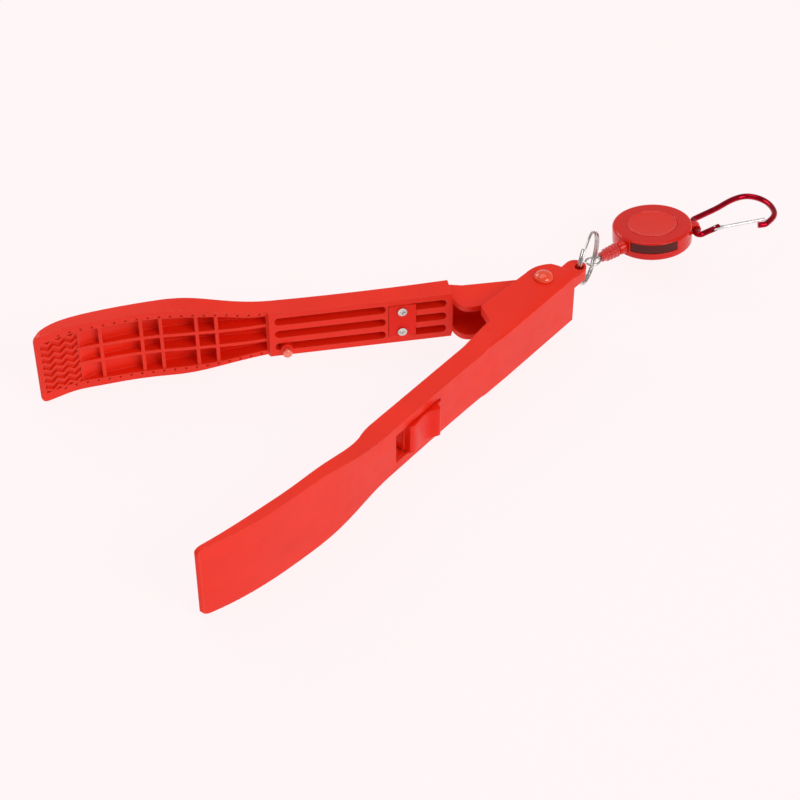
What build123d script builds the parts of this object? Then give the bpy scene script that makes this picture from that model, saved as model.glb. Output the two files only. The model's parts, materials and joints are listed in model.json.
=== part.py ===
from build123d import *
import os
from math import acos, cos, degrees, radians, sin

# Fish-gripping tongs lying on their side: two plastic arms hinged on a pin, a slide
# lock, a split ring in a tail lug, and a retractable cord reel with a carabiner.
# Everything is laid out about the hinge pin, whose axis is +Z, and then moved so that
# the middle of the footprint is the origin. Millimetres.

os.makedirs("parts", exist_ok=True)

# ---- driving dimensions -------------------------------------------------------
ARM_LENGTH = 240.0          # hinge pin to the outer arm's tip
OUTER_HEADING = 231.75      # direction of the outer arm, degrees about +Z
OPEN_ANGLE = 41.5           # angle between the arms at rest
CLOSED_ANGLE = 3.4          # angle between the arms when the tips meet
HALF = 12.9                 # half width of the handles
CHEEK_HALF = 15.4           # half width over the outer arm's cheeks
JAW_HALF = 19.4             # half width of the jaws
WALL = 2.2                  # moulded wall
FACE_T = -1.0               # inner face of the handles, measured outward from the pin axis
BACK_T = 9.9                # outer face of the handles near the pin
BLOCK_ROOT = 44.0           # where the solid grip block starts
STEP_S = 133.0              # where the grip block ends and the jaw starts
RIB = 1.6                   # thickness of the dish ribs
RIB_PLACES = (157.1, 166.4, 183.0, 192.2, 211.3)
RIB_SINK = 0.5              # rib tops below the rim
LONG_RIB_Z = 4.4
POCKET = 1.5                # depth of the pocket that the tooth ridges stand in
POCKET_END = 239.0
RIDGES = 8                  # tooth ridges side by side
RIDGE_PITCH = 3.9
RIDGE_WAVE = 5.4            # length of one zigzag along the arm
RIDGE_SWAY = 1.1
RIDGE_WIDTH = 1.5
NOTCH_PITCH = 5.2
NOTCH_DEPTH = 0.8
GROOVE_PITCH = 7.55
GROOVE_WIDTH = 4.35

PIN_R = 3.0
FIT = 0.05                  # radial clearance of a running fit
EAR = (7.0, 10.0)           # inside and outside of the ribbed arm's ears
EAR_R = 7.5                 # round end of the ears about the pin
EAR_BACK = 8.2              # back of the ears where they meet the handle
CHEEK_INSIDE = 10.3         # inside of the outer arm's cheeks
CHANNEL_T = 7.8             # inside of the outer arm's back wall at the cheeks
DOME_R = 4.65
DOME_RISE = 3.4

LUG_S, LUG_T = -21.4, 6.2   # middle of the lug's hole
LUG_ROUND = (-20.6, 4.6)    # middle of the lug's round end
LUG_R = 5.2
LUG_Z = (6.2, 12.2)
LUG_HOLE_R = 2.4
RING_R = 13.0               # mean radius of the split ring
RING_WIRE = 0.65
RING_HEADING = 66.4         # horizontal direction from the lug to the ring's centre
RING_DIP = -3.0             # how far below the ring's centre height it crosses the lug

WINDOW = (92.6, 125.3)      # slide lock window along the arm
WINDOW_HALF = 8.1
LOCK_TRAVEL = 8.0
BUTTON = (93.8, 116.6)      # slide button along the arm, unlocked
STUD_S, STUD_Z = 124.6, -9.8
STUD_NECK = 2.6             # from the handle face to the stud's cap
PLATE_RISE = 1.2            # from the closed arm's handle face to the keyhole plate
PLATE = 1.0

BLOCK = (62.0, 75.4)        # screwed block along the ribbed arm
BLOCK_HALF = 9.3
SCREW_S, SCREW_Z = 68.8, 6.0

REEL_R = 20.0
REEL_HALF = 5.0
REEL_SPLIT = 0.3            # height of the seam between the case shells
REEL_CENTRE = (58.44, 57.18, 0.4)
REEL_AXIS = (0.7895, 0.6138, -0.0061)    # from the cord's mouth to the reel's centre
REEL_NORMAL = (-0.0695, 0.0993, 0.9926)
MOUTH_R = 24.0              # end of the cord guide, from the reel's centre
BOOT_END = 35.0             # end of the cord boot, from the reel's centre
CORD_R = 0.5
WOUND = (9.9, 12.6)         # radii of the wound cord
CARABINER_TURN = -33.0      # where the carabiner's eye sits round the reel, degrees
BAR_R = 1.5
GATE_R = 0.8
PIVOT_X = 21.9              # carabiner's end bar, from the reel's centre
GATE_PIN = (31.0, -2.9)
GATE_TURN = 8.7             # direction of the closed gate in the carabiner's frame
GATE_LENGTH = 27.0

# Side view of each arm: X along the arm, Y outward.
OUTER = {
    "back": [(BLOCK_ROOT, BACK_T), (120, 9.3), (140, 9.6), (158, 9.8), (176, 8.6), (200, 6.3),
             (216, 3.6), (228, 0.5), (238.4, -3.2)],
    "tip": (239.9, -4.5),
    "rim": [(140.5, 0.9), (146, 1.9), (158, 2.6), (178, 2.7), (188, 2.1), (204.7, 0.2),
            (219.6, -1.8), (229.3, -3.4), (239.0, -5.4)],
    "step": [(135, -0.6), (131, FACE_T)],
    "floor": [(141, 7.3), (158, 7.6), (176, 6.4), (200, 4.1), (210, 2.4), (219, -1.9)],
    "length": ARM_LENGTH,
}
RIBBED = {
    "back": [(BLOCK_ROOT, BACK_T), (120, 8.9), (138, 9.4), (150, 9.9), (163, 10.8),
             (174, 11.1), (187, 10.6), (200, 9.4), (212, 7.8), (224, 5.3), (231, 2.8),
             (236, -0.3), (240.5, -5.0)],
    "tip": (241.8, -6.8),
    "rim": [(133.4, 1.0), (141.7, 0.5), (156.6, 0.5), (171, 1.1), (185.6, 1.8), (200, 1.4),
            (214, 0), (226, -1.8), (233.3, -4.6), (240.8, -7.8)],
    "step": [(133.0, 0.0), (132.4, FACE_T)],
    "floor": [(133.6, 7.0), (150, 7.7), (163, 8.5), (174, 8.6), (195, 6.9), (209, 4.4),
              (218, 2.4), (223, -1.1)],
    "length": 242.0,
}
# Half width of the jaw's hollow along the arm.
HOLLOW = [(133, 10.4), (145, 11.6), (155, 13.4), (166, 14.5), (185, 15.3), (205, 15.2),
          (222, 14.8)]

parts = {}


# ---- placing ------------------------------------------------------------------
def on_outer(shape):
    """From the outer arm's own frame (X along, Y outward) to the assembly."""
    return Rot(0, 0, OUTER_HEADING) * shape


def on_ribbed(shape):
    """From the ribbed arm's own frame (X along, Y outward) to the assembly."""
    return Rot(0, 0, OUTER_HEADING - OPEN_ANGLE) * mirror(shape, about=Plane.XZ)


REEL = Location(Plane(origin=REEL_CENTRE, x_dir=REEL_AXIS, z_dir=REEL_NORMAL))
CARABINER = REEL * Location((0, 0, 0), (0, 0, CARABINER_TURN))


def span_box(x, y, z):
    """A box between two limits on each axis."""
    size = (x[1] - x[0], y[1] - y[0], z[1] - z[0])
    middle = ((x[0] + x[1]) / 2, (y[0] + y[1]) / 2, (z[0] + z[1]) / 2)
    return Pos(*middle) * Box(*size)


def rod(radius, start, end):
    """A round bar from one point to another."""
    axis = Vector(*end) - Vector(*start)
    base = Plane(origin=start, z_dir=axis)
    return extrude(base * Circle(radius), axis.length)


def across(sketch, reach=60.0):
    """A side view extruded through the whole width of the arm."""
    return extrude(sketch, amount=reach / 2, both=True)


def closed_gap(s):
    """Distance between the handle faces at s when the tips meet."""
    return 2 * s * sin(radians(CLOSED_ANGLE / 2)) + 2 * FACE_T


# ---- shared arm geometry ------------------------------------------------------
def side_view(arm, root_outline):
    """Side view of an arm. root_outline runs from the handle face round to the back."""
    with BuildSketch() as view:
        with BuildLine():
            back = Spline(*arm["back"])
            tip = ThreePointArc(back @ 1, arm["tip"], arm["rim"][-1])
            rim = Spline(*reversed(arm["rim"]))
            step = Spline(rim @ 1, *arm["step"])
            Line(step @ 1, (BLOCK_ROOT, FACE_T))
            root_outline()
        make_face()
    return view.sketch


def plan_view(root_line, length):
    """Plan of an arm, X along and Y across, given its half outline up to the handle."""
    with BuildSketch(Plane.XZ) as view:
        with BuildLine():
            root = Polyline((root_line[0][0], 0), *root_line, (STEP_S - 3, HALF))
            flare = Spline(root @ 1, (146, 14.3), (161, 17.2), (182, JAW_HALF),
                           tangents=[(1, 0), (1, 0)])
            jaw = Line(flare @ 1, (length - 4, JAW_HALF))
            corner = ThreePointArc(jaw @ 1, (length - 1.17, JAW_HALF - 1.17),
                                   (length, JAW_HALF - 4))
            Line(corner @ 1, (length, 0))
            mirror(about=Plane.XZ)
        make_face()
    return view.sketch


def rim_zone(arm, depth, top=-30.0):
    """Everything inward of the rim contour sunk by depth, from the dish to the tip."""
    rim = arm["rim"]
    with BuildSketch() as zone:
        with BuildLine():
            sunk = Spline(*[(s, t + depth) for s, t in rim])
            Polyline(sunk @ 1, (rim[-1][0], top), (rim[0][0], top), sunk @ 0)
        make_face()
    return across(zone.sketch)


def hollow_half(s):
    """Half width of the jaw's hollow at s."""
    for (s0, z0), (s1, z1) in zip(HOLLOW, HOLLOW[1:]):
        if s <= s1:
            return z0 + (z1 - z0) * (s - s0) / (s1 - s0)
    return HOLLOW[-1][1]


def hollow_plan(grow=0.0):
    """The hollow and the tooth pocket seen in plan, grown sideways."""
    with BuildSketch(Plane.XZ) as plan:
        with BuildLine():
            side = Spline(*[(s, z + grow) for s, z in HOLLOW])
            Polyline(side @ 1, (POCKET_END, HOLLOW[-1][1] + grow), (POCKET_END, 0))
            Line((HOLLOW[0][0], 0), side @ 0)
            mirror(about=Plane.XZ)
        make_face()
    return extrude(plan.sketch, amount=40, both=True)


def dish_void(arm, sink=0.0):
    """The hollow of the jaw, down to its floor sunk by sink."""
    first, last = arm["floor"][0][0], arm["floor"][-1][0]
    with BuildSketch() as side:
        with BuildLine():
            floor = Spline(*[(s, t + sink) for s, t in arm["floor"]])
            Polyline(floor @ 1, (last, -30), (first, -30), floor @ 0)
        make_face()
    return across(side.sketch) & hollow_plan()


def dish_ribs(arm):
    """Cross ribs and two long ribs, a little below the rim."""
    cross = [span_box((s - RIB / 2, s + RIB / 2), (-10, 12), (-20, 20)) for s in RIB_PLACES]
    along = [span_box((HOLLOW[0][0], POCKET_END), (-10, 12), (z - RIB / 2, z + RIB / 2))
             for z in (-LONG_RIB_Z, LONG_RIB_Z)]
    bars = Part() + cross + along
    return (bars & dish_void(arm, 0.6)) - rim_zone(arm, RIB_SINK)


def tooth_ridges(start):
    """Zigzag ridges running along the jaw's tip, seen in plan."""
    steps = int(2 * (POCKET_END - start) / RIDGE_WAVE) + 1
    ridges = []
    for k in range(RIDGES):
        middle = (k - (RIDGES - 1) / 2) * RIDGE_PITCH
        row = [(start + n * RIDGE_WAVE / 2, middle + RIDGE_SWAY * (-1) ** n)
               for n in range(steps + 1)]
        edge = [(s, z - RIDGE_WIDTH / 2) for s, z in row]
        back = [(s, z + RIDGE_WIDTH / 2) for s, z in reversed(row)]
        outline = make_face(Polyline(*edge, *back, close=True))
        ridges.append(extrude(Plane.XZ * outline, amount=40, both=True))
    return Part() + ridges


def rim_notches(arm):
    """Small pointed dents along the inner half of both rims of the jaw."""
    cuts = []
    first = arm["floor"][0][0] + 3
    for k in range(int((234 - first) / NOTCH_PITCH) + 1):
        s = first + k * NOTCH_PITCH
        near, far = hollow_half(s) + 0.5, hollow_half(s) + 2.1
        for side in (-1, 1):
            dent = make_face(Polyline((s - 0.9, side * near), (s + 0.9, side * near),
                                      (s, side * far), close=True))
            cuts.append(extrude(Plane.XZ * dent, amount=40, both=True))
    return (Part() + cuts) & rim_zone(arm, NOTCH_DEPTH)


def grooves(start, end, depth_t):
    """Three round-ended grooves side by side in the handle face."""
    slot = SlotOverall(end - start, GROOVE_WIDTH)
    cut = extrude(Plane.XZ.offset(-depth_t) * slot, amount=depth_t + 12)
    return Part() + [Pos((start + end) / 2, 0, k * GROOVE_PITCH) * cut for k in (-1, 0, 1)]


def jaw_details(shape, arm):
    """Cut the dish, its ribs, the teeth and the rim notches into a plain arm."""
    dish_end = arm["floor"][-1][0]
    tip_half = span_box((dish_end - 1, POCKET_END), (-20, 12), (-25, 25))
    pocket = rim_zone(arm, POCKET) & hollow_plan() & tip_half
    shape = shape - dish_void(arm) - pocket - rim_notches(arm)
    ridge_band = rim_zone(arm, POCKET + 0.4) - rim_zone(arm, 0.1)
    ridges = tooth_ridges(dish_end - 0.8) & ridge_band & hollow_plan(0.2)
    return shape + dish_ribs(arm) + ridges


# ---- outer arm: the root body ---------------------------------------------------
def outer_root():
    """Deep cheeks about the pin and the rounded tail, handle face to back."""
    cheek = Polyline((BLOCK_ROOT, FACE_T), (41.6, FACE_T), (35.5, -10.7), (2, -9.0))
    tail = ThreePointArc(cheek @ 1, (-6.9, -7.2), (-14.2, 0.6))
    Polyline(tail @ 1, (-14.6, 8.0), (-12.6, BACK_T), (BLOCK_ROOT, BACK_T))


def outer_arm():
    side = across(side_view(OUTER, outer_root))
    shoulder = [(-14.6, 12.4), (-13.6, 14.4), (-11.5, CHEEK_HALF), (46, CHEEK_HALF),
                (52, 14.6), (62, HALF)]
    plan = extrude(plan_view(shoulder, OUTER["length"]), amount=40, both=True)
    arm = side & plan
    # The cheeks round over towards the back.
    with BuildSketch(Plane.YZ) as crown:
        with BuildLine():
            flat = Polyline((-20, 0), (-20, CHEEK_HALF), (3.5, CHEEK_HALF))
            over = ThreePointArc(flat @ 1, (7.6, 14.6), (11, HALF - 0.9))
            Line(over @ 1, (11, 0))
            mirror(about=Plane.XZ)
        make_face()
    slab = extrude(crown.sketch, amount=64, both=True)
    arm = arm & (slab + span_box((62, 250), (-30, 30), (-25, 25)))
    arm = jaw_details(arm, OUTER)
    arm -= span_box((-8.3, 46), (-25, CHANNEL_T), (-CHEEK_INSIDE, CHEEK_INSIDE))
    arm -= grooves(49.0, 87.5, 7.4)
    # Slide lock: window through the back, a groove for the flange, and the well below.
    arm -= span_box(WINDOW, (0, 20), (-WINDOW_HALF, WINDOW_HALF))
    arm -= span_box((89.5, 130.6), (5.1, 7.4), (-10.4, 10.4))
    arm -= span_box((89.5, 130.6), (-25, 5.2), (-8.6, 8.6))
    # Tail lug for the split ring.
    round_s, round_t = LUG_ROUND
    lug = span_box((round_s, -12.0), (round_t - LUG_R, round_t + LUG_R), LUG_Z)
    lug += Pos(round_s, round_t, LUG_Z[0]) * extrude(Circle(LUG_R), LUG_Z[1] - LUG_Z[0])
    arm += lug
    arm -= Pos(LUG_S, LUG_T, 0) * Cylinder(LUG_HOLE_R, 40)
    arm -= Cylinder(PIN_R, 60)
    return on_outer(arm)


def dome(height):
    """A domed head of the pin, standing on z = 0."""
    ball = (DOME_R ** 2 + height ** 2) / (2 * height)
    cap = Pos(0, 0, height - ball) * Sphere(ball)
    return cap & (Pos(0, 0, height / 2) * Cylinder(DOME_R, height))


def pivot_pin():
    shaft = rod(PIN_R, (0, 0, -CHEEK_HALF - 1.6), (0, 0, CHEEK_HALF))
    return shaft + Pos(0, 0, CHEEK_HALF) * dome(DOME_RISE)


def pivot_cap():
    cap = Pos(0, 0, -CHEEK_HALF) * Rot(180, 0, 0) * dome(DOME_RISE)
    return cap - rod(PIN_R, (0, 0, -CHEEK_HALF - 1.6), (0, 0, 0))


def pivot_sleeve():
    bore = PIN_R + FIT
    height = EAR[0] - 0.15
    return Cylinder(4.1, 2 * height) - Cylinder(bore, 2 * height)


def torsion_spring():
    """Coil about the sleeve; one leg lies along each arm's back wall."""
    coil_r, wire, height, lean = 5.3, 0.65, 9.0, 4.0
    leg = 25.0
    start = OUTER_HEADING + 90 - lean
    finish = OUTER_HEADING - OPEN_ANGLE - 90 + lean + 360 * 6
    turns = (finish - start) / 360
    path = Helix(pitch=height / turns, height=height, radius=coil_r)
    path = Rot(0, 0, start) * path
    path = Pos(0, 0, -height / 2) * path
    lead = Line(path @ 0 - (path % 0) * leg, path @ 0)
    trail = Line(path @ 1, path @ 1 + (path % 1) * leg)
    route = Wire([lead, path, trail])
    return sweep(Plane(origin=route @ 0, z_dir=route % 0) * Circle(wire), route)


def detent_spring():
    """A bent leaf in the well of the slide lock, pressing the slider's flange up."""
    leaf = span_box((89.7, 99.0), (2.0, 2.4), (-3, 3))
    bump = Pos(99.0, 2.2, 0) * Cylinder(0.9, 6)
    foot = span_box((89.5, 89.9), (2.0, 5.0), (-3, 3))
    return on_outer(leaf + bump + foot)


# ---- slide lock ---------------------------------------------------------------
def lock_slider():
    """Thumb button, the flange under the arm's back, and the hook that takes the stud."""
    low, high = BUTTON
    with BuildSketch() as profile:
        with BuildLine():
            ledge = Line((low, 10.2), (low + 2.2, 10.2))
            thumb = Spline(ledge @ 1, (low + 3.2, 11.6), (low + 4.6, 13.5), (low + 6.2, 13.1),
                           (low + 9, 11.2), (low + 14, 10.5), (high - 1.6, 11.2), (high, 10.6))
            Polyline(thumb @ 1, (high, 7.0), (low, 7.0), ledge @ 0)
        make_face()
    button = extrude(profile.sketch, amount=WINDOW_HALF - 0.35, both=True)
    flange = span_box((low - 3.2, high + 5.0), (5.4, 7.1), (-10.1, 10.1))
    flange -= span_box((high + 0.5, high + 9.0), (0, 20), (-WINDOW_HALF - 0.2, WINDOW_HALF + 0.2))
    # Hook: a leg down through the well and a keyhole plate inward of the handle face.
    # The plate passes between the stud's cap and the face of the other arm.
    plate_near = FACE_T - (closed_gap(STUD_S) - PLATE_RISE)
    plate_far = plate_near + PLATE
    leg = span_box((111.5, high + 0.5), (plate_near, 5.6), (-7.0, -4.0))
    plate = span_box((111.5, 129.0), (plate_near, plate_far), (-13.4, -4.0))
    key = Pos(STUD_S, -10, STUD_Z) * Rot(90, 0, 0) * Cylinder(2.9, 20)
    slot = span_box((STUD_S - LOCK_TRAVEL - 1.7, STUD_S), (-30, FACE_T),
                    (STUD_Z - 1.6, STUD_Z + 1.6))
    return on_outer(button + flange + leg + (plate - key - slot))


# ---- ribbed arm ---------------------------------------------------------------
def ribbed_root():
    """Lobed ears round the pin, from the handle face to the back."""
    lobe = Spline((BLOCK_ROOT, FACE_T), (43.2, -4.0), (40.5, -7.6), (36.5, -8.8), (33.0, -8.6),
                  (20.0, -EAR_R), tangents=[(0, -1), (-1, 0)])
    run = Line(lobe @ 1, (0, -EAR_R))
    end = ThreePointArc(run @ 1, (-EAR_R, 0), (0, EAR_R))
    Polyline(end @ 1, (38.0, EAR_BACK), (BLOCK_ROOT, BACK_T))


def ribbed_arm():
    side = across(side_view(RIBBED, ribbed_root))
    neck = [(-20, EAR[1]), (BLOCK_ROOT, EAR[1]), (BLOCK_ROOT + 0.8, HALF)]
    plan = extrude(plan_view(neck, RIBBED["length"]), amount=40, both=True)
    arm = jaw_details(side & plan, RIBBED)
    arm -= span_box((-20, BLOCK_ROOT), (-25, EAR_BACK - WALL), (-EAR[0], EAR[0]))
    arm -= span_box((-20, 12), (-25, 25), (-EAR[0], EAR[0]))
    arm -= grooves(76.6, 130.0, 7.4)
    arm -= grooves(47.2, 66.0, 7.4)
    arm -= span_box(BLOCK, (-25, 5.0), (-BLOCK_HALF, BLOCK_HALF))
    arm += Pos(STUD_S, 0, STUD_Z) * Rot(90, 0, 0) * Pos(0, 0, -3.5) * Cylinder(2.8, 9)
    stud_hole = rod(1.2, (STUD_S, FACE_T - 1, STUD_Z), (STUD_S, 5.0, STUD_Z))
    arm -= stud_hole
    arm -= [rod(1.2, (SCREW_S, 4, z), (SCREW_S, 8.2, z)) for z in (-SCREW_Z, SCREW_Z)]
    arm -= Cylinder(PIN_R + FIT, 60)
    return on_ribbed(arm)


def screwed_block():
    """The block let into the handle face; it stands slightly proud."""
    play = 0.15
    block = span_box((BLOCK[0] + play, BLOCK[1] - play), (FACE_T - 0.4, 5.0),
                     (-BLOCK_HALF + play, BLOCK_HALF - play))
    block -= [rod(1.25, (SCREW_S, -5, z), (SCREW_S, 6, z)) for z in (-SCREW_Z, SCREW_Z)]
    return on_ribbed(block)


def block_screws():
    seat = FACE_T - 0.4
    screws = []
    for z in (-SCREW_Z, SCREW_Z):
        screw = rod(2.25, (SCREW_S, seat - 0.9, z), (SCREW_S, seat, z))
        screw += rod(1.2, (SCREW_S, seat, z), (SCREW_S, 8.0, z))
        screw -= span_box((SCREW_S - 1.3, SCREW_S + 1.3), (seat - 1, seat - 0.4), (z - 0.3, z + 0.3))
        screw -= span_box((SCREW_S - 0.3, SCREW_S + 0.3), (seat - 1, seat - 0.4), (z - 1.3, z + 1.3))
        screws.append(on_ribbed(screw))
    return Part() + screws


def latch_stud():
    """Mushroom stud that the slide lock's keyhole takes hold of."""
    neck_end = FACE_T - STUD_NECK
    stud = rod(1.2, (STUD_S, 5.0, STUD_Z), (STUD_S, neck_end, STUD_Z))
    stud += rod(2.3, (STUD_S, neck_end, STUD_Z), (STUD_S, neck_end - 0.6, STUD_Z))
    cap = Pos(STUD_S, neck_end - 0.6, STUD_Z) * Rot(90, 0, 0) * Sphere(2.3)
    stud += cap & span_box((STUD_S - 3, STUD_S + 3), (neck_end - 1.4, neck_end - 0.6),
                           (STUD_Z - 3, STUD_Z + 3))
    return on_ribbed(stud)


# ---- split ring and cord end ----------------------------------------------------
def outer_point(s, t, z):
    """A point of the outer arm's frame, in the assembly."""
    turn = radians(OUTER_HEADING)
    return Vector(s * cos(turn) - t * sin(turn), s * sin(turn) + t * cos(turn), z)


RING_OUT = Vector(cos(radians(RING_HEADING)), sin(radians(RING_HEADING)), 0)
LUG_CENTRE = outer_point(LUG_S, LUG_T, sum(LUG_Z) / 2)
RING_CENTRE = (LUG_CENTRE + RING_OUT * (RING_R * cos(radians(RING_DIP)))
               + Vector(0, 0, RING_R * sin(radians(RING_DIP))))
LINK_DIP = 37.3             # how far below its centre height the ring carries the clasp
LINK_POINT = (RING_CENTRE + RING_OUT * (RING_R * cos(radians(LINK_DIP)))
              - Vector(0, 0, RING_R * sin(radians(LINK_DIP))))


def split_ring():
    """Two turns of wire side by side."""
    across_ring = Vector(RING_OUT.Y, -RING_OUT.X, 0)
    seat = Location(Plane(origin=RING_CENTRE, x_dir=RING_OUT, z_dir=across_ring))
    turns = [Pos(0, 0, k * 0.85 * RING_WIRE) * Torus(RING_R, RING_WIRE) for k in (-1, 1)]
    return seat * (turns[0] + turns[1])


def reel_point(x, y, z):
    """A point of the reel's frame, in the assembly."""
    return (REEL * Location((x, y, z))).position


def cord_boot():
    """Ribbed boot that stops the cord's end against the reel."""
    start, end = MOUTH_R + 0.3, BOOT_END
    core = Cone(3.0, 2.5, end - start, align=(Align.CENTER, Align.CENTER, Align.MIN))
    boot = Pos(-start, 0, 0) * Rot(0, -90, 0) * core
    for k in range(4):
        ridge = Cylinder(3.6 - 0.1 * k, 1.1)
        boot += Pos(-start - 0.9 - 2.1 * k, 0, 0) * Rot(0, 90, 0) * ridge
    return REEL * (boot - rod(CORD_R, (-BOOT_END + 4, 0, 0), (0, 0, 0)))


def cord_clasp():
    """Wire loop from the boot through the split ring."""
    mouth = reel_point(-BOOT_END, 0, 0)
    axis = (mouth - reel_point(0, 0, 0)).normalized()
    eye_r = 3.9
    centre = mouth + axis * (eye_r + 0.9)
    flat = Vector(0, 0, 1) - axis * axis.Z
    seat = Location(Plane(origin=centre, x_dir=axis, z_dir=flat))
    loop = seat * Torus(eye_r, 0.5)
    stem = rod(0.9, mouth, mouth + axis * 1.1)
    return loop + stem


# ---- reel -----------------------------------------------------------------------
WINDOW_AT, WINDOW_SPREAD = 229.5, 36.0     # dark band in the case wall, degrees
WINDOW_LOW, WINDOW_TOP = -1.0, 4.0


def shell_cup(height, wall=1.6):
    """A round cup, open downward, standing on z = 0."""
    body = Cylinder(REEL_R, height, align=(Align.CENTER, Align.CENTER, Align.MIN))
    body = fillet(body.edges().group_by(Axis.Z)[-1], 1.6)
    hollow = Cylinder(REEL_R - wall, height - wall, align=(Align.CENTER, Align.CENTER, Align.MIN))
    return body - hollow


def arc_band(inner, outer, low, high, middle, spread):
    """A curved strip about the reel's axis, middle and spread in degrees."""
    band = Cylinder(outer, high - low) - Cylinder(inner, high - low)
    reach = 2 * outer
    left, right = radians(middle - spread), radians(middle + spread)
    wedge = make_face(Polyline((0, 0), (reach * cos(left), reach * sin(left)),
                               (reach * cos(radians(middle)), reach * sin(radians(middle))),
                               (reach * cos(right), reach * sin(right)), close=True))
    band = band & extrude(wedge, amount=20, both=True)
    return Pos(0, 0, (low + high) / 2) * band


def eye_boss():
    """The eye that holds the carabiner's end bar, half on each shell."""
    boss = span_box((REEL_R - 3, PIVOT_X), (-2.2, 2.2), (-2.6, 2.6))
    boss += Pos(PIVOT_X, 0, 0) * Rot(90, 0, 0) * Cylinder(2.6, 4.4)
    boss -= Pos(PIVOT_X, 0, 0) * Rot(90, 0, 0) * Cylinder(BAR_R + 0.08, 20)
    return Rot(0, 0, CARABINER_TURN) * boss - Cylinder(REEL_R - 0.8, 20)


def reel_top():
    cup = Pos(0, 0, REEL_SPLIT) * shell_cup(REEL_HALF - REEL_SPLIT)
    cup -= Pos(0, 0, REEL_HALF - 0.4) * Cylinder(12.7, 0.8)
    cup -= arc_band(REEL_R - 1.2, REEL_R + 1, WINDOW_LOW, WINDOW_TOP, WINDOW_AT, WINDOW_SPREAD)
    cup += eye_boss() & span_box((0, 60), (-60, 60), (REEL_SPLIT, 10))
    cup -= Pos(-REEL_R, 0, 0) * Rot(0, 90, 0) * Cylinder(3.1, 8)
    return REEL * cup


def reel_bottom():
    cup = Pos(0, 0, REEL_SPLIT) * Rot(180, 0, 0) * shell_cup(REEL_HALF + REEL_SPLIT)
    cup -= arc_band(REEL_R - 1.2, REEL_R + 1, WINDOW_LOW, WINDOW_TOP, WINDOW_AT, WINDOW_SPREAD)
    cup += eye_boss() & span_box((0, 60), (-60, 60), (-10, REEL_SPLIT))
    cup -= Pos(-REEL_R, 0, 0) * Rot(0, 90, 0) * Cylinder(3.1, 8)
    return REEL * cup


def reel_face():
    return REEL * (Pos(0, 0, REEL_HALF - 0.4) * Cylinder(12.5, 0.8))


def reel_window():
    return REEL * arc_band(REEL_R - 1.2, REEL_R - 0.3, WINDOW_LOW + 0.1, WINDOW_TOP - 0.1,
                           WINDOW_AT, WINDOW_SPREAD - 0.4)


def cord_guide():
    """Bushing in the case's mouth."""
    bush = rod(3.1, (-REEL_R + 3.0, 0, 0), (-MOUTH_R, 0, 0))
    flare = Cone(3.8, 3.1, MOUTH_R - REEL_R, align=(Align.CENTER, Align.CENTER, Align.MIN))
    bush += Pos(-REEL_R, 0, 0) * Rot(0, -90, 0) * flare
    bush -= rod(CORD_R + 0.3, (-REEL_R + 4, 0, 0), (-MOUTH_R - 1, 0, 0))
    return REEL * bush


SPOOL_FLOOR = -3.0
SPOOL_TOP = 2.9


def reel_axle():
    pin = Cylinder(1.5, REEL_HALF - 1.6 + 3.1, align=(Align.CENTER, Align.CENTER, Align.MIN))
    return REEL * (Pos(0, 0, -REEL_HALF + 1.6) * pin)


def cord_spool():
    """Flanged drum; its cup holds the power spring."""
    height = SPOOL_TOP - SPOOL_FLOOR
    drum = Cylinder(WOUND[0], height) - Pos(0, 0, 0.5) * Cylinder(WOUND[0] - 1, height)
    drum += Pos(0, 0, -height / 2 + 0.4) * Cylinder(16.5, 0.8)
    rim = Cylinder(16.5, 0.8) - Cylinder(WOUND[0] - 1, 0.8)
    drum += Pos(0, 0, height / 2 - 0.4) * rim
    drum -= Cylinder(1.5 + FIT, 20)
    return REEL * (Pos(0, 0, (SPOOL_TOP + SPOOL_FLOOR) / 2) * drum)


def wound_cord():
    height = SPOOL_TOP - SPOOL_FLOOR - 1.6
    coil = Cylinder(WOUND[1], height) - Cylinder(WOUND[0], height)
    return REEL * (Pos(0, 0, (SPOOL_TOP + SPOOL_FLOOR) / 2) * coil)


def power_spring():
    """Flat spiral strip in the spool's cup, built of half turns that grow."""
    step, strip = 0.8, 0.3
    arcs = []
    radius, x, way = 2.3, 0.0, 1
    for k in range(12):
        start = (x + way * radius, 0)
        end = (x - way * radius, 0)
        top = (x, way * radius)
        arcs.append(ThreePointArc(start, top, end))
        x += way * step / 2
        radius += step / 2
        way = -way
    ribbon = trace(Curve() + arcs, strip)
    return REEL * (Pos(0, 0, -1.6) * extrude(ribbon, 3.2))


def pull_cord():
    """The cord from the wound turns, through the guide, into the boot."""
    bend = -REEL_R + 4.2
    leave_r = WOUND[1] + CORD_R + 0.05
    reach = 180 + degrees(acos(leave_r / -bend))
    leave = (leave_r * cos(radians(reach)), leave_r * sin(radians(reach)))
    path = FilletPolyline((leave[0], leave[1], 0), (bend, 0, 0), (-BOOT_END + 4, 0, 0), radius=2.5)
    tube = sweep(Plane(origin=path @ 0, z_dir=path % 0) * Circle(CORD_R), path)
    return REEL * tube


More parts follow.
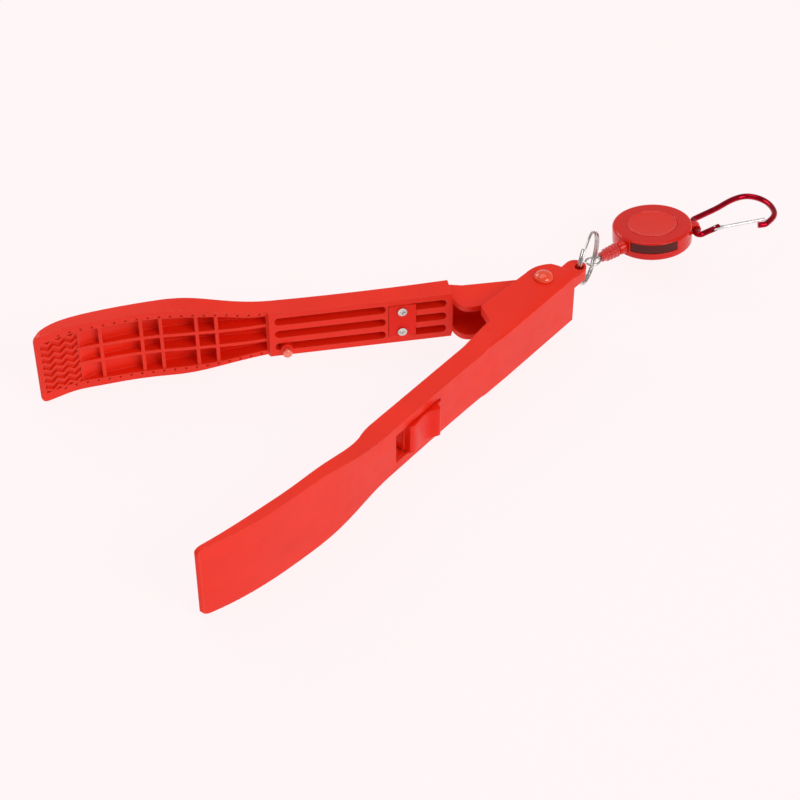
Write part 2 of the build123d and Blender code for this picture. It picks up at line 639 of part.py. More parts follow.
# ---- carabiner --------------------------------------------------------------------
def carabiner_frame():
    """Pear-shaped bar: gate stub, end bar in the reel's eye, spine, bow and nose."""
    straight = 3.2
    foot = FilletPolyline((33.6, -1.4, 0), (19.9, -9.3, 0), (PIVOT_X, -straight, 0),
                          (PIVOT_X, straight, 0), (22.1, 7.8, 0), (34.3, 15.2, 0),
                          radius=[1.9, 2.6, 2.6, 2.6])
    bow = Spline(foot @ 1, (44.6, 22.6, 0), (54.0, 25.4, 0), (60.8, 20.4, 0), (63.9, 11.0, 0),
                 (62.4, 2.8, 0), (57.8, -2.8, 0), (52.9, -3.8, 0),
                 tangents=[foot % 1, (-1, 0.05, 0)])
    path = Wire([*foot.edges(), bow])
    bar = sweep(Plane(origin=path @ 0, z_dir=path % 0) * Circle(BAR_R), path)
    bar -= span_box((GATE_PIN[0] - 2.4, 40), (GATE_PIN[1] - 4, GATE_PIN[1] + 5), (-0.7, 0.7))
    bar -= Pos(*GATE_PIN, 0) * Cylinder(0.6, 6)
    return CARABINER * bar


def carabiner_gate():
    """Thin round gate with a flat tongue in the fork."""
    gate = rod(GATE_R, (4.0, 0, 0), (GATE_LENGTH, 0, 0))
    tongue = span_box((0, 5.0), (-1.0, 1.0), (-0.6, 0.6))
    tongue += Cylinder(1.0, 1.2)
    gate = gate + tongue - Cylinder(0.6 + FIT, 6)
    return CARABINER * Location((*GATE_PIN, 0), (0, 0, GATE_TURN)) * gate


def gate_rivet():
    return CARABINER * (Pos(*GATE_PIN, 0) * Cylinder(0.6, 2 * BAR_R + 0.5))


# ---- build ------------------------------------------------------------------------
MAKERS = [
    outer_arm, pivot_pin, pivot_cap, pivot_sleeve, torsion_spring, detent_spring,
    lock_slider, ribbed_arm, screwed_block, block_screws, latch_stud,
    split_ring, cord_boot, cord_clasp,
    reel_top, reel_bottom, reel_face, reel_window, cord_guide, reel_axle,
    cord_spool, wound_cord, power_spring, pull_cord,
    carabiner_frame, carabiner_gate, gate_rivet,
]
for maker in MAKERS:
    parts[maker.__name__] = maker()

# Stand the assembly on z = 0 with the middle of its footprint at the origin.
boxes = [shape.bounding_box() for shape in parts.values()]
west, east = min(b.min.X for b in boxes), max(b.max.X for b in boxes)
south, north = min(b.min.Y for b in boxes), max(b.max.Y for b in boxes)
PLACE = Pos(-(west + east) / 2, -(south + north) / 2, -min(b.min.Z for b in boxes))
for name, shape in parts.items():
    export_step(PLACE * shape, f"parts/{name}.step")
    print(f"{name:18s} volume {shape.volume:10.1f} mm3, solids {len(shape.solids())}")
print("hinge pin centre", PLACE.position)
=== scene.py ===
import json
from math import atan2, cos, pi, radians, sin, tan

import bmesh
import bpy
from mathutils import Matrix, Vector


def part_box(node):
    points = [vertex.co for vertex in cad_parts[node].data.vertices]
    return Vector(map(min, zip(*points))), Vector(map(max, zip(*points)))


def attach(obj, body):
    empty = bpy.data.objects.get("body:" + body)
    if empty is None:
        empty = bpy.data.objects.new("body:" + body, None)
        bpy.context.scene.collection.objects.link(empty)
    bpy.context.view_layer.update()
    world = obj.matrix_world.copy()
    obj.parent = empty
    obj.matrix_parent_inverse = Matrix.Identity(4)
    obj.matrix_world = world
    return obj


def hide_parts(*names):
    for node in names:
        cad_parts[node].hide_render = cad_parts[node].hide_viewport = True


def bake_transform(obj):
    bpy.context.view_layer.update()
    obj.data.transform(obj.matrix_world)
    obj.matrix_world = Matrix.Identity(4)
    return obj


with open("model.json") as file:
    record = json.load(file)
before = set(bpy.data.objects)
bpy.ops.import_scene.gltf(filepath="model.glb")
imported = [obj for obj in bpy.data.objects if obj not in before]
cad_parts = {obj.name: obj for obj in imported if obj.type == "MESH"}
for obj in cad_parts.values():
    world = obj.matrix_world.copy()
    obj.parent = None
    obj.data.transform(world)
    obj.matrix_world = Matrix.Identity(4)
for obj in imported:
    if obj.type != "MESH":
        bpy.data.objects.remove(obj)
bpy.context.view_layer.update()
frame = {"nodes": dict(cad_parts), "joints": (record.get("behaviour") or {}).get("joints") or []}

# A fish lip grip lying on a pale surface: two hinged plastic arms with a slide lock, and a
# cord reel with a carabiner on a split ring. Metres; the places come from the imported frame.

MM = 0.001
nodes = frame["nodes"]
joints = {j["name"]: j for j in frame["joints"]}


# ---- frames taken from the joints ---------------------------------------------
def basis(origin, x_axis, z_axis):
    """A 4x4 placing matrix from an origin, an X direction and a Z direction."""
    z = Vector(z_axis).normalized()
    y = z.cross(Vector(x_axis)).normalized()
    x = y.cross(z)
    rot = Matrix((x, y, z)).transposed().to_4x4()
    return Matrix.Translation(Vector(origin)) @ rot


PIN = Vector(joints["arm_hinge"]["pos_m"])
ALONG_OUTER = Vector(joints["lock_slide"]["axis"])
HEADING = atan2(ALONG_OUTER.y, ALONG_OUTER.x)
OPEN_ANGLE = radians(41.5)
REEL_N = Vector(joints["spool_spin"]["axis"])
REEL_X = Vector(joints["cord_pull"]["axis"])
REEL = basis(joints["spool_spin"]["pos_m"], REEL_X, REEL_N)
LUG = Vector(joints["ring_swing"]["pos_m"])
RIBBED = Matrix.Translation(PIN) @ Matrix.Rotation(HEADING - OPEN_ANGLE, 4, "Z")
RING_LOW, RING_HIGH = (Vector(corner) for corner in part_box("split_ring"))
RING_CENTRE = (RING_LOW + RING_HIGH) / 2
RING_OUT = Vector((RING_CENTRE.x - LUG.x, RING_CENTRE.y - LUG.y, 0)).normalized()
RING = basis(RING_CENTRE, RING_OUT, RING_OUT.cross(Vector((0, 0, 1))))


def on_ribbed(s, t, z):
    """A point of the ribbed arm: s along it, t outward, z along the pin, in millimetres."""
    return RIBBED @ Vector((s * MM, -t * MM, z * MM))


def on_reel(x, y, z):
    """A point of the reel: x away from the cord's mouth, z along its axle, in millimetres."""
    return REEL @ Vector((x * MM, y * MM, z * MM))


# ---- camera ----------------------------------------------------------------------
CAMERA_FROM_PIN = Vector((-0.0685, -0.7559, 0.6009))
CAMERA_TILT = radians(48.75)
LENS, SENSOR = 90.0, 36.0

camera_data = bpy.data.cameras.new("camera")
camera_data.lens = LENS
camera_data.sensor_width = SENSOR
camera = bpy.data.objects.new("camera", camera_data)
camera.location = PIN + CAMERA_FROM_PIN
camera.rotation_euler = (CAMERA_TILT, 0, 0)
bpy.context.scene.collection.objects.link(camera)
bpy.context.scene.camera = camera
bpy.context.scene.view_settings.view_transform = "Standard"


# ---- material building blocks ------------------------------------------------------
def new_material(name):
    mat = bpy.data.materials.new(name)
    mat.use_nodes = True
    tree = mat.node_tree
    tree.nodes.clear()
    out = tree.nodes.new("ShaderNodeOutputMaterial")
    bsdf = tree.nodes.new("ShaderNodeBsdfPrincipled")
    tree.links.new(bsdf.outputs[0], out.inputs[0])
    return mat, tree, bsdf


def noise(tree, scale, detail=3.0, stretch=(1, 1, 1), rough=0.55):
    """Object-space noise, with its scale per metre."""
    coord = tree.nodes.new("ShaderNodeTexCoord")
    mapping = tree.nodes.new("ShaderNodeMapping")
    mapping.inputs["Scale"].default_value = stretch
    tex = tree.nodes.new("ShaderNodeTexNoise")
    tex.inputs["Scale"].default_value = scale
    tex.inputs["Detail"].default_value = detail
    tex.inputs["Roughness"].default_value = rough
    tree.links.new(coord.outputs["Object"], mapping.inputs[0])
    tree.links.new(mapping.outputs[0], tex.inputs["Vector"])
    return tex.outputs["Fac"]


def remap(tree, value, low, high, start=0.0, end=1.0):
    """value from low..high mapped to start..end, clamped."""
    node = tree.nodes.new("ShaderNodeMapRange")
    node.inputs["From Min"].default_value = low
    node.inputs["From Max"].default_value = high
    node.inputs["To Min"].default_value = start
    node.inputs["To Max"].default_value = end
    tree.links.new(value, node.inputs["Value"])
    return node.outputs["Result"]


def blend_colour(tree, factor, low, high):
    """A colour between two, by factor; each may be a tuple or a socket."""
    node = tree.nodes.new("ShaderNodeMix")
    node.data_type = "RGBA"
    tree.links.new(factor, node.inputs[0])
    for socket, colour in ((node.inputs[6], low), (node.inputs[7], high)):
        if isinstance(colour, tuple):
            socket.default_value = (*colour, 1)
        else:
            tree.links.new(colour, socket)
    return node.outputs[2]


def add_bump(tree, bsdf, heights, rounding=0.0):
    """Stacks bumps on a softened normal: (height socket, strength, distance in metres)."""
    last = None
    if rounding:
        bevel = tree.nodes.new("ShaderNodeBevel")
        bevel.samples = 6
        bevel.inputs["Radius"].default_value = rounding
        last = bevel.outputs[0]
    for height, strength, distance in heights:
        node = tree.nodes.new("ShaderNodeBump")
        node.inputs["Strength"].default_value = strength
        node.inputs["Distance"].default_value = distance
        tree.links.new(height, node.inputs["Height"])
        if last is not None:
            tree.links.new(last, node.inputs["Normal"])
        last = node.outputs[0]
    tree.links.new(last, bsdf.inputs["Normal"])


def edge_mask(tree, radius):
    """1 on outer and inner edges within radius, from the Bevel node."""
    bevel = tree.nodes.new("ShaderNodeBevel")
    bevel.samples = 4
    bevel.inputs["Radius"].default_value = radius
    geometry = tree.nodes.new("ShaderNodeNewGeometry")
    dot = tree.nodes.new("ShaderNodeVectorMath")
    dot.operation = "DOT_PRODUCT"
    tree.links.new(bevel.outputs[0], dot.inputs[0])
    tree.links.new(geometry.outputs["Normal"], dot.inputs[1])
    return remap(tree, dot.outputs["Value"], 0.995, 0.9)


def plastic(name, colour, edge_highlight, rough=(0.38, 0.5), grain=2600.0, grain_depth=0.00002,
            subsurface=0.0, coat=0.0, specular=0.36, edge=0.0005, blotch=0.08, rounding=0.0006):
    """Moulded plastic: slight blotches, flow lines, fine grain, and a painted highlight along the
    edges.
    """
    mat, tree, bsdf = new_material(name)
    dark = tuple(c * (1 - blotch) for c in colour)
    flow = noise(tree, 26.0, 4.0, (1, 1, 2.2))
    base = blend_colour(tree, remap(tree, flow, 0.35, 0.65), dark, colour)
    # Painted highlight: the edges are blended towards the paler second colour, broken up by noise,
    # to stand in for light caught on the rounded edges.
    highlight_breakup = noise(tree, 420.0, 2.0, (1, 1, 0.25))
    painted_edge_highlight = tree.nodes.new("ShaderNodeMath")
    painted_edge_highlight.operation = "MULTIPLY"
    tree.links.new(edge_mask(tree, edge), painted_edge_highlight.inputs[0])
    tree.links.new(remap(tree, highlight_breakup, 0.3, 0.7, 0.35, 0.8), painted_edge_highlight.inputs[1])
    base = blend_colour(tree, painted_edge_highlight.outputs[0], base, edge_highlight)
    tree.links.new(base, bsdf.inputs["Base Color"])
    tree.links.new(remap(tree, noise(tree, 150.0, 5.0), 0.3, 0.7, *rough),
                   bsdf.inputs["Roughness"])
    bsdf.inputs["IOR"].default_value = 1.5
    bsdf.inputs["Specular IOR Level"].default_value = specular
    bsdf.inputs["Coat Weight"].default_value = coat
    bsdf.inputs["Coat Roughness"].default_value = 0.05
    if subsurface:
        bsdf.inputs["Subsurface Weight"].default_value = subsurface
        bsdf.inputs["Subsurface Radius"].default_value = (1.0, 0.18, 0.1)
        bsdf.inputs["Subsurface Scale"].default_value = 0.001
    add_bump(tree, bsdf, [(noise(tree, grain, 2.0), 0.25, grain_depth),
                          (noise(tree, 60.0, 2.0), 0.05, grain_depth * 8)], rounding)
    return mat


def metal(name, colour, tarnish, rough=(0.12, 0.26), brush=(1, 1, 1), scratch=0.15):
    """Bright metal with fine scratches and slight tarnish."""
    mat, tree, bsdf = new_material(name)
    base = blend_colour(tree, remap(tree, noise(tree, 240.0, 5.0), 0.42, 0.75), colour, tarnish)
    tree.links.new(base, bsdf.inputs["Base Color"])
    bsdf.inputs["Metallic"].default_value = 1.0
    tree.links.new(remap(tree, noise(tree, 500.0, 4.0, brush), 0.3, 0.7, *rough),
                   bsdf.inputs["Roughness"])
    add_bump(tree, bsdf, [(noise(tree, 2400.0, 2.0, brush), scratch, 0.00001)])
    return mat


# The second colour of each plastic is the paler tint of its painted edge highlight.
M = {
    "arm": plastic("arm_plastic_look", (0.86, 0.021, 0.004), (0.94, 0.09, 0.04),
                   subsurface=0.06, specular=0.3),
    "button": plastic("button_look", (0.84, 0.014, 0.003), (0.94, 0.09, 0.03),
                      rough=(0.28, 0.38), subsurface=0.06, specular=0.2, rounding=0.0009),
    "pin": plastic("pin_look", (0.90, 0.060, 0.006), (0.92, 0.10, 0.03), rough=(0.12, 0.2),
                   grain_depth=0.000004, subsurface=0.15, coat=0.6, specular=0.5),
    "stud": plastic("stud_look", (0.90, 0.24, 0.15), (0.95, 0.45, 0.35), rough=(0.1, 0.18),
                    grain_depth=0.000004, subsurface=0.35, coat=0.5, specular=0.5),
    "reel": plastic("reel_look", (0.68, 0.010, 0.003), (0.90, 0.06, 0.03), rough=(0.06, 0.12),
                    grain_depth=0.000001, coat=0.15, specular=0.25, edge=0.0003),
    "boot": plastic("boot_look", (0.66, 0.008, 0.004), (0.90, 0.10, 0.07), rough=(0.06, 0.14),
                    grain_depth=0.000001, subsurface=0.1, coat=0.9, specular=0.5, edge=0.0002,
                    rounding=0.0),
    "face": plastic("reel_face_look", (0.78, 0.024, 0.010), (0.90, 0.09, 0.05),
                    rough=(0.2, 0.28), grain_depth=0.000002, coat=0.15, specular=0.28),
    "window": plastic("window_look", (0.10, 0.012, 0.010), (0.18, 0.02, 0.015),
                      rough=(0.08, 0.16), grain_depth=0.000001, coat=0.1, specular=0.15),
    "spool": plastic("spool_look", (0.05, 0.012, 0.012), (0.12, 0.05, 0.05)),
    "steel": metal("ring_steel_look", (0.62, 0.61, 0.59), (0.36, 0.35, 0.33),
                   rough=(0.10, 0.2)),
    "screw": metal("screw_steel_look", (0.70, 0.69, 0.66), (0.40, 0.38, 0.34),
                   rough=(0.16, 0.3)),
    "spring": metal("spring_steel_look", (0.60, 0.60, 0.62), (0.38, 0.36, 0.34),
                    rough=(0.25, 0.42)),
    "anodised": metal("anodised_look", (0.46, 0.006, 0.022), (0.26, 0.003, 0.012),
                      rough=(0.10, 0.2), scratch=0.08),
    "gate": metal("gate_look", (0.80, 0.80, 0.81), (0.60, 0.59, 0.59), rough=(0.25, 0.36),
                  scratch=0.05),
}


def braid(name):
    """Braided cord: two crossing waves for the strands."""
    mat, tree, bsdf = new_material(name)
    coord = tree.nodes.new("ShaderNodeTexCoord")
    waves = []
    for tilt in (0.7, -0.7):
        mapping = tree.nodes.new("ShaderNodeMapping")
        mapping.inputs["Rotation"].default_value = (0, tilt, tilt)
        wave = tree.nodes.new("ShaderNodeTexWave")
        wave.inputs["Scale"].default_value = 700.0
        tree.links.new(coord.outputs["Object"], mapping.inputs[0])
        tree.links.new(mapping.outputs[0], wave.inputs["Vector"])
        waves.append(wave.outputs["Fac"])
    both = tree.nodes.new("ShaderNodeMath")
    both.operation = "MAXIMUM"
    tree.links.new(waves[0], both.inputs[0])
    tree.links.new(waves[1], both.inputs[1])
    tree.links.new(blend_colour(tree, both.outputs[0], (0.42, 0.41, 0.39), (0.82, 0.81, 0.78)),
                   bsdf.inputs["Base Color"])
    tree.links.new(remap(tree, noise(tree, 900.0), 0.3, 0.7, 0.6, 0.8), bsdf.inputs["Roughness"])
    bsdf.inputs["Sheen Weight"].default_value = 0.3
    add_bump(tree, bsdf, [(both.outputs[0], 0.5, 0.00008)])
    return mat


M["cord"] = braid("cord_look")


# ---- mesh building blocks ------------------------------------------------------------
MERGE = 1e-6


def piece(name, verts, faces, body, look, stands_for):
    """A mesh piece that stands for CAD nodes and rides on a body, if one is given."""
    mesh = bpy.data.meshes.new(name)
    mesh.from_pydata([tuple(v) for v in verts], [], faces)
    mesh.validate()
    tidy = bmesh.new()
    tidy.from_mesh(mesh)
    bmesh.ops.remove_doubles(tidy, verts=tidy.verts, dist=MERGE)
    bmesh.ops.recalc_face_normals(tidy, faces=tidy.faces)
    tidy.to_mesh(mesh)
    tidy.free()
    obj = bpy.data.objects.new(name, mesh)
    bpy.context.scene.collection.objects.link(obj)
    mesh.materials.append(M[look])
    mesh.shade_smooth()
    if body:
        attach(obj, body)
    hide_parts(*stands_for)
    return obj


def lathe(profile, place, segments=96, closed=True):
    """Vertices and faces of a profile (radius, height) turned about place's Z."""
    verts, faces, count = [], [], len(profile)
    for k in range(segments):
        turn = 2 * pi * k / segments
        verts += [place @ Vector((r * cos(turn), r * sin(turn), z)) for r, z in profile]
    for k in range(segments):
        here, there = k * count, (k + 1) % segments * count
        for i in range(count if closed else count - 1):
            j = (i + 1) % count
            faces.append((here + i, there + i, there + j, here + j))
    return verts, faces


def soften(corners, radius, steps=4):
    """A closed profile with its corners rounded."""
    out, count = [], len(corners)
    for i, corner in enumerate(corners):
        here = Vector(corner)
        before, after = Vector(corners[i - 1]), Vector(corners[(i + 1) % count])
        cut = min(radius, (before - here).length * 0.45, (after - here).length * 0.45)
        a = here + (before - here).normalized() * cut
        b = here + (after - here).normalized() * cut
        for k in range(steps + 1):
            f = k / steps
            out.append(tuple(a * (1 - f) ** 2 + here * (2 * f * (1 - f)) + b * f ** 2))
    return out


def tube(points, radius, sides=16, closed=False, section=None):
    """Vertices and faces of a tube along points, round or with a section of its own."""
    count = len(points)
    tangents = []
    for i in range(count):
        a = points[i - 1] if i or closed else points[0]
        b = points[(i + 1) % count] if i < count - 1 or closed else points[-1]
        tangents.append((b - a).normalized())
    guide = Vector((0, 0, 1)) if abs(tangents[0].z) < 0.9 else Vector((1, 0, 0))
    normal = (guide - tangents[0] * guide.dot(tangents[0])).normalized()
    verts, faces = [], []
    for i in range(count):
        t = tangents[i]
        normal = (normal - t * normal.dot(t)).normalized()
        side = t.cross(normal)
        for k in range(sides):
            turn = 2 * pi * k / sides
            across, up = section(turn) if section else (cos(turn), sin(turn))
            verts.append(points[i] + (normal * across + side * up) * radius)
    for i in range(count if closed else count - 1):
        here, there = i * sides, (i + 1) % count * sides
        for k in range(sides):
            n = (k + 1) % sides
            faces.append((here + k, here + n, there + n, there + k))
    if not closed:
        faces.append(tuple(range(sides - 1, -1, -1)))
        faces.append(tuple((count - 1) * sides + k for k in range(sides)))
    return verts, faces


def join(*meshes):
    """Several (verts, faces) as one."""
    verts, faces = [], []
    for v, f in meshes:
        start = len(verts)
        verts += v
        faces += [tuple(i + start for i in face) for face in f]
    return verts, faces


def curve_points(corners, radius, steps):
    """Points along an open path whose corners are rounded."""
    out, count = [], len(corners)
    for i, here in enumerate(corners):
        if i in (0, count - 1):
            out.append(here)
            continue
        before, after = corners[i - 1], corners[i + 1]
        u, v = (before - here).normalized(), (after - here).normalized()
        half = u.angle(v) / 2
        cut = min(radius / max(1e-6, tan(half)),
                  (before - here).length * 0.49, (after - here).length * 0.49)
        centre_dir = (u + v).normalized()
        centre = here + centre_dir * (cut / cos(half))
        a, b = here + u * cut - centre, here + v * cut - centre
        sweep = a.angle(b)
        for k in range(steps + 1):
            f = k / steps
            w = (a * sin((1 - f) * sweep) + b * sin(f * sweep)) / sin(sweep)
            out.append(centre + w)
    return out


# ---- pieces that stand for CAD nodes -----------------------------------------------------
def scaled(profile):
    """A profile in millimetres, in metres."""
    return [(r * MM, z * MM) for r, z in profile]


# Hinge pin with its glossy head.
CHEEK, DOME_R, DOME_RISE, DOME_RIM, DOME_STEPS = 15.4, 4.65, 3.4, 0.4, 12
SHANK_R, SHANK_PAST = 3.0, 1.6
head = [(0.0, CHEEK + DOME_RISE)]
for step in range(1, DOME_STEPS):
    bend = step / DOME_STEPS * pi / 2
    head.append((DOME_R * sin(bend), CHEEK + DOME_RIM + (DOME_RISE - DOME_RIM) * cos(bend)))
pin_profile = [(0.0, -CHEEK - SHANK_PAST), (SHANK_R, -CHEEK - SHANK_PAST), (SHANK_R, CHEEK),
               (DOME_R, CHEEK), (DOME_R, CHEEK + DOME_RIM), *reversed(head)]
pin_place = Matrix.Translation(PIN)
piece("pivot_pin_head", *lathe(scaled(pin_profile), pin_place, 64, closed=False),
      "outer_arm", "pin", ("pivot_pin",))

# Mushroom stud on the ribbed arm.
STUD_S, STUD_Z = 124.6, -9.8
stud_place = basis(on_ribbed(STUD_S, 0, STUD_Z), ALONG_OUTER,
                   on_ribbed(STUD_S, -1, STUD_Z) - on_ribbed(STUD_S, 0, STUD_Z))
stud_profile = [(0.0, -4.8), (1.2, -4.8), (1.2, 3.2), (1.35, 3.55), (2.0, 3.65), (2.3, 3.9),
                (2.3, 4.15), (2.1, 4.5), (1.6, 4.8), (0.9, 4.98), (0.0, 5.0)]
piece("latch_stud_cap", *lathe(scaled(stud_profile), stud_place, 48, closed=False),
      "ribbed_arm", "stud", ("latch_stud",))

# Split ring: two turns of slightly flattened wire, with the cranked step between them.
# LIE is each turn's offset from the ring's middle; CRANK is where the wire steps across.
RING_R, WIRE, LIE = 13.0, 0.65, 0.55
RING_STEPS, RING_END, RING_TURN = 190, 4 * pi - 1.4, 2.2
CRANK = (2 * pi - 1.4, 2 * pi - 0.1)
WIRE_SHRINK = 0.96
ring_path = []
for k in range(RING_STEPS + 1):
    turn = RING_END * k / RING_STEPS
    over = min(1.0, max(0.0, (turn - CRANK[0]) / (CRANK[1] - CRANK[0])))
    side = LIE * (2 * over * over * (3 - 2 * over) - 1)
    place = turn + RING_TURN
    ring_path.append(RING @ Vector((RING_R * MM * cos(place), RING_R * MM * sin(place),
                                    side * MM)))


SQUARING = 0.8


def flattened(turn):
    """A wire's section, a little squarer than round."""
    c, n = cos(turn), sin(turn)
    return abs(c) ** SQUARING * (1 if c > 0 else -1), abs(n) ** SQUARING * (1 if n > 0 else -1)


piece("split_ring_wire", *tube(ring_path, WIRE * MM * WIRE_SHRINK, 18, section=flattened),
      "split_ring", "steel", ("split_ring",))

# Ribbed boot on the cord's end, along the cord.
BOOT_START, BOOT_END = 24.3, 35.0
BOOT_CORE, BOOT_TAPER = 3.0, 0.047
BOOT_RIDGES = ((25.2, 3.6), (27.3, 3.5), (29.4, 3.4), (31.5, 3.3))
RIDGE_HALF, END_ROUND, END_CUT, CORD_HOLE = 0.6, 0.6, 0.4, 0.55
BOOT_STEPS = 96
boot_place = basis(REEL.to_translation(), REEL_N, -REEL_X)
boot_profile = []
for k in range(BOOT_STEPS + 1):
    along = BOOT_START + (BOOT_END - BOOT_START) * k / BOOT_STEPS
    core = BOOT_CORE - BOOT_TAPER * (along - BOOT_START)
    radius = core
    for middle, top in BOOT_RIDGES:
        lift = max(0.0, 1 - (abs(along - middle) / RIDGE_HALF) ** 3)
        radius = max(radius, core + (top - core) * lift ** 0.5)
    if BOOT_END - along < END_ROUND:
        radius -= END_CUT * (1 - (BOOT_END - along) / END_ROUND) ** 2
    boot_profile.append((radius, along))
boot_profile += [(CORD_HOLE, BOOT_END), (CORD_HOLE, BOOT_START)]
piece("cord_boot_ribs", *lathe(scaled(boot_profile), boot_place, 64), "cord_end", "boot",
      ("cord_boot",))

# Wire loop from the boot through the split ring, with its crimped barrel.
LOOP_MIDDLE, LOOP_R, LOOP_WIRE, LOOP_STEPS = BOOT_END + 4.8, 3.9, 0.55, 72
NARROW = 0.72
loop_path = []
for k in range(LOOP_STEPS):
    turn = 2 * pi * k / LOOP_STEPS
    pinch = NARROW + (1 - NARROW) * (1 - cos(turn)) / 2
    loop_path.append(on_reel(-LOOP_MIDDLE + LOOP_R * cos(turn), LOOP_R * pinch * sin(turn), 0))
BARREL_IN, BARREL_OUT = 0.3, 0.95
BARREL_LOW, BARREL_HIGH = BOOT_END - 0.6, BOOT_END + 1.2
barrel = soften(scaled([(BARREL_IN, BARREL_LOW), (BARREL_OUT, BARREL_LOW),
                        (BARREL_OUT, BARREL_HIGH), (BARREL_IN, BARREL_HIGH)]), 0.25 * MM)
piece("cord_clasp_wire", *join(tube(loop_path, LOOP_WIRE * MM, 14, closed=True),
                               lathe(barrel, boot_place, 32)),
      "cord_end", "steel", ("cord_clasp",))

# Reel face: a disc with a raised, rounded lip.
face_profile = [(0.0, 4.2), (12.45, 4.2), (12.55, 4.7), (12.5, 5.0), (12.3, 5.16), (12.0, 5.2),
                (11.7, 5.14), (11.45, 4.98), (11.2, 4.88), (10.8, 4.84), (0.0, 4.84)]
piece("reel_face_disc", *lathe(scaled(face_profile), REEL, 128, closed=False),
      "reel_case", "face", ("reel_face",))

# Wound cord: three layers of three turns on the drum.
cord_path = []
LAYERS, ROWS, TURN_STEPS = (10.4, 11.3, 12.1), (-1.5, -0.05, 1.4), 40
STEP_OVER, WOUND_R, CORD_R = 0.85, 0.48, 0.5
for layer, lay_r in enumerate(LAYERS):
    rows = ROWS if layer % 2 == 0 else tuple(reversed(ROWS))
    for row, height in enumerate(rows):
        for k in range(TURN_STEPS):
            f = k / TURN_STEPS
            turn = 2 * pi * f
            over = max(0.0, (f - STEP_OVER) / (1 - STEP_OVER))
            to_height = rows[row + 1] if row < 2 else height
            last_row = row == 2 and layer < 2
            to_r = LAYERS[layer + 1] if last_row else lay_r
            r = lay_r + (to_r - lay_r) * over
            cord_path.append(on_reel(r * cos(turn), r * sin(turn),
                                     height + (to_height - height) * over))
piece("wound_cord_turns", *tube(cord_path, WOUND_R * MM, 8), "cord_spool", "cord",
      ("wound_cord",))

# The cord from the wound turns to the boot; it draws out between the reel and the boot.
cord_corners = [on_reel(-10.94, -7.30, 0), on_reel(-15.8, 0, 0), on_reel(-31.0, 0, 0)]
bend_run = curve_points(cord_corners, 2.5 * MM, 10)
CORD_PARTS = 24
straight = [bend_run[-2].lerp(bend_run[-1], k / CORD_PARTS) for k in range(1, CORD_PARTS)]
pull = piece("pull_cord_braid", *tube(bend_run[:-1] + straight + [bend_run[-1]], CORD_R * MM, 12),
             None, "cord", ("pull_cord",))
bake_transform(pull)

# ---- looks for the CAD nodes that stay: look, edge rounding in metres ---------------------
KEPT = {
    "outer_arm": ("arm", 0.0005), "ribbed_arm": ("arm", 0.0005),
    "lock_slider": ("button", 0.0005), "screwed_block": ("button", 0.0002),
    "pivot_cap": ("pin", 0), "pivot_sleeve": ("spring", 0.0001),
    "torsion_spring": ("spring", 0), "detent_spring": ("spring", 0.00005),
    "reel_axle": ("steel", 0.0001), "power_spring": ("spring", 0), "cord_spool": ("spool", 0.0001),
    "reel_window": ("window", 0.0001), "cord_guide": ("reel", 0.0002),
    "reel_top": ("reel", 0.0002), "reel_bottom": ("reel", 0.0002),
    "block_screws": ("screw", 0.00008), "carabiner_frame": ("anodised", 0.0001),
    "carabiner_gate": ("gate", 0.0001), "gate_rivet": ("gate", 0.00008),
}


def smooth_by_angle(limit):
    """A modifier's node group: smooth faces, with edges sharper than limit left sharp."""
    group = bpy.data.node_groups.new("smooth_by_angle", "GeometryNodeTree")
    group.interface.new_socket("Geometry", in_out="INPUT", socket_type="NodeSocketGeometry")
    group.interface.new_socket("Geometry", in_out="OUTPUT", socket_type="NodeSocketGeometry")
    start = group.nodes.new("NodeGroupInput")
    end = group.nodes.new("NodeGroupOutput")
    faces = group.nodes.new("GeometryNodeSetShadeSmooth")
    faces.domain = "FACE"
    edges = group.nodes.new("GeometryNodeSetShadeSmooth")
    edges.domain = "EDGE"
    edges.inputs["Shade Smooth"].default_value = False
    angle = group.nodes.new("GeometryNodeInputMeshEdgeAngle")
    sharp = group.nodes.new("FunctionNodeCompare")
    sharp.operation = "GREATER_THAN"
    sharp.inputs[1].default_value = limit
    group.links.new(start.outputs[0], faces.inputs["Geometry"])
    group.links.new(faces.outputs[0], edges.inputs["Geometry"])
    group.links.new(angle.outputs["Unsigned Angle"], sharp.inputs[0])
    group.links.new(sharp.outputs[0], edges.inputs["Selection"])
    group.links.new(edges.outputs[0], end.inputs[0])
    return group


WELD_DISTANCE, FLAT_ANGLE, BEVEL_ANGLE = 0.000002, radians(0.1), radians(35)
SMOOTH = smooth_by_angle(radians(32))
for name, (look, rounding) in KEPT.items():
    node = nodes[name]
    for material_slot in node.material_slots:
        material_slot.material = M[look]
    weld = node.modifiers.new("weld", "WELD")
    weld.merge_threshold = WELD_DISTANCE
    if rounding:
        flat = node.modifiers.new("flat", "DECIMATE")
        flat.decimate_type = "DISSOLVE"
        flat.angle_limit = FLAT_ANGLE
        bevel = node.modifiers.new("rounding", "BEVEL")
        bevel.width = rounding
        bevel.segments = 3
        bevel.limit_method = "ANGLE"
        bevel.angle_limit = BEVEL_ANGLE
        bevel.use_clamp_overlap = True
    shade = node.modifiers.new("shade", "NODES")
    shade.node_group = SMOOTH
    weighted = node.modifiers.new("weighted", "WEIGHTED_NORMAL")
    weighted.keep_sharp = True

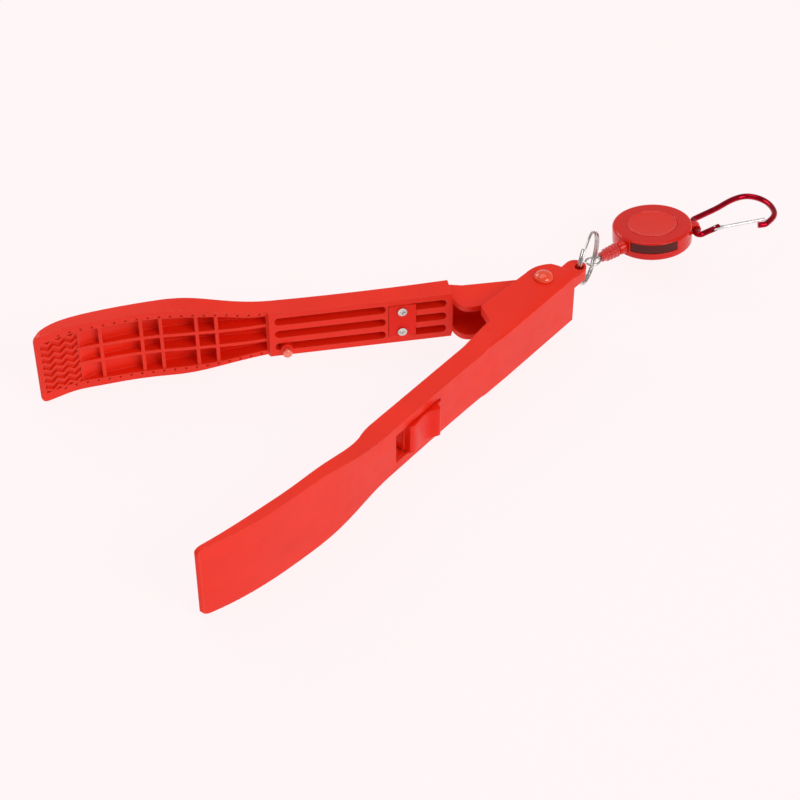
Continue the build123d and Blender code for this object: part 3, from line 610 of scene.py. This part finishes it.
# ---- floor, backdrop light and lamps -------------------------------------------------
PAPER = (1.0, 0.921, 0.930)
STUDIO_GLOW = 0.5

world = bpy.data.worlds.new("studio")
bpy.context.scene.world = world
world.use_nodes = True
world.node_tree.nodes["Background"].inputs[0].default_value = (*PAPER, 1)
world.node_tree.nodes["Background"].inputs[1].default_value = STUDIO_GLOW

floor_mat, floor_tree, floor_bsdf = new_material("floor_look")
FLOOR_DIFFUSE, FLOOR_GLOW = 0.07, 0.935
paper = blend_colour(floor_tree, remap(floor_tree, noise(floor_tree, 3.0), 0.3, 0.7),
                     tuple(c * FLOOR_DIFFUSE * 0.98 for c in PAPER),
                     tuple(c * FLOOR_DIFFUSE for c in PAPER))
floor_tree.links.new(paper, floor_bsdf.inputs["Base Color"])
floor_bsdf.inputs["Roughness"].default_value = 0.9
floor_bsdf.inputs["Specular IOR Level"].default_value = 0.0
floor_bsdf.inputs["Emission Color"].default_value = (*PAPER, 1)
floor_bsdf.inputs["Emission Strength"].default_value = FLOOR_GLOW
floor_mesh = bpy.data.meshes.new("floor")
REACH = 6.0
floor_mesh.from_pydata([(-REACH, -REACH, 0), (REACH, -REACH, 0), (REACH, REACH, 0),
                        (-REACH, REACH, 0)], [], [(0, 1, 2, 3)])
floor = bpy.data.objects.new("floor", floor_mesh)
floor_mesh.materials.append(floor_mat)
bpy.context.scene.collection.objects.link(floor)


def soft_light(name, place, size, watts):
    """A rectangular lamp aimed at the middle of the floor."""
    data = bpy.data.lights.new(name, "AREA")
    data.shape = "RECTANGLE"
    data.size, data.size_y = size
    data.energy = watts
    lamp = bpy.data.objects.new(name, data)
    lamp.location = Vector(place)
    lamp.rotation_euler = (-Vector(place)).to_track_quat("-Z", "Y").to_euler()
    bpy.context.scene.collection.objects.link(lamp)


soft_light("key", (0.9, -0.9, 0.9), (0.9, 0.7), 9.5)
soft_light("top", (-0.2, 0.3, 1.5), (1.4, 1.0), 5)
soft_light("rim", (-0.9, 0.9, 0.7), (0.8, 0.4), 4)
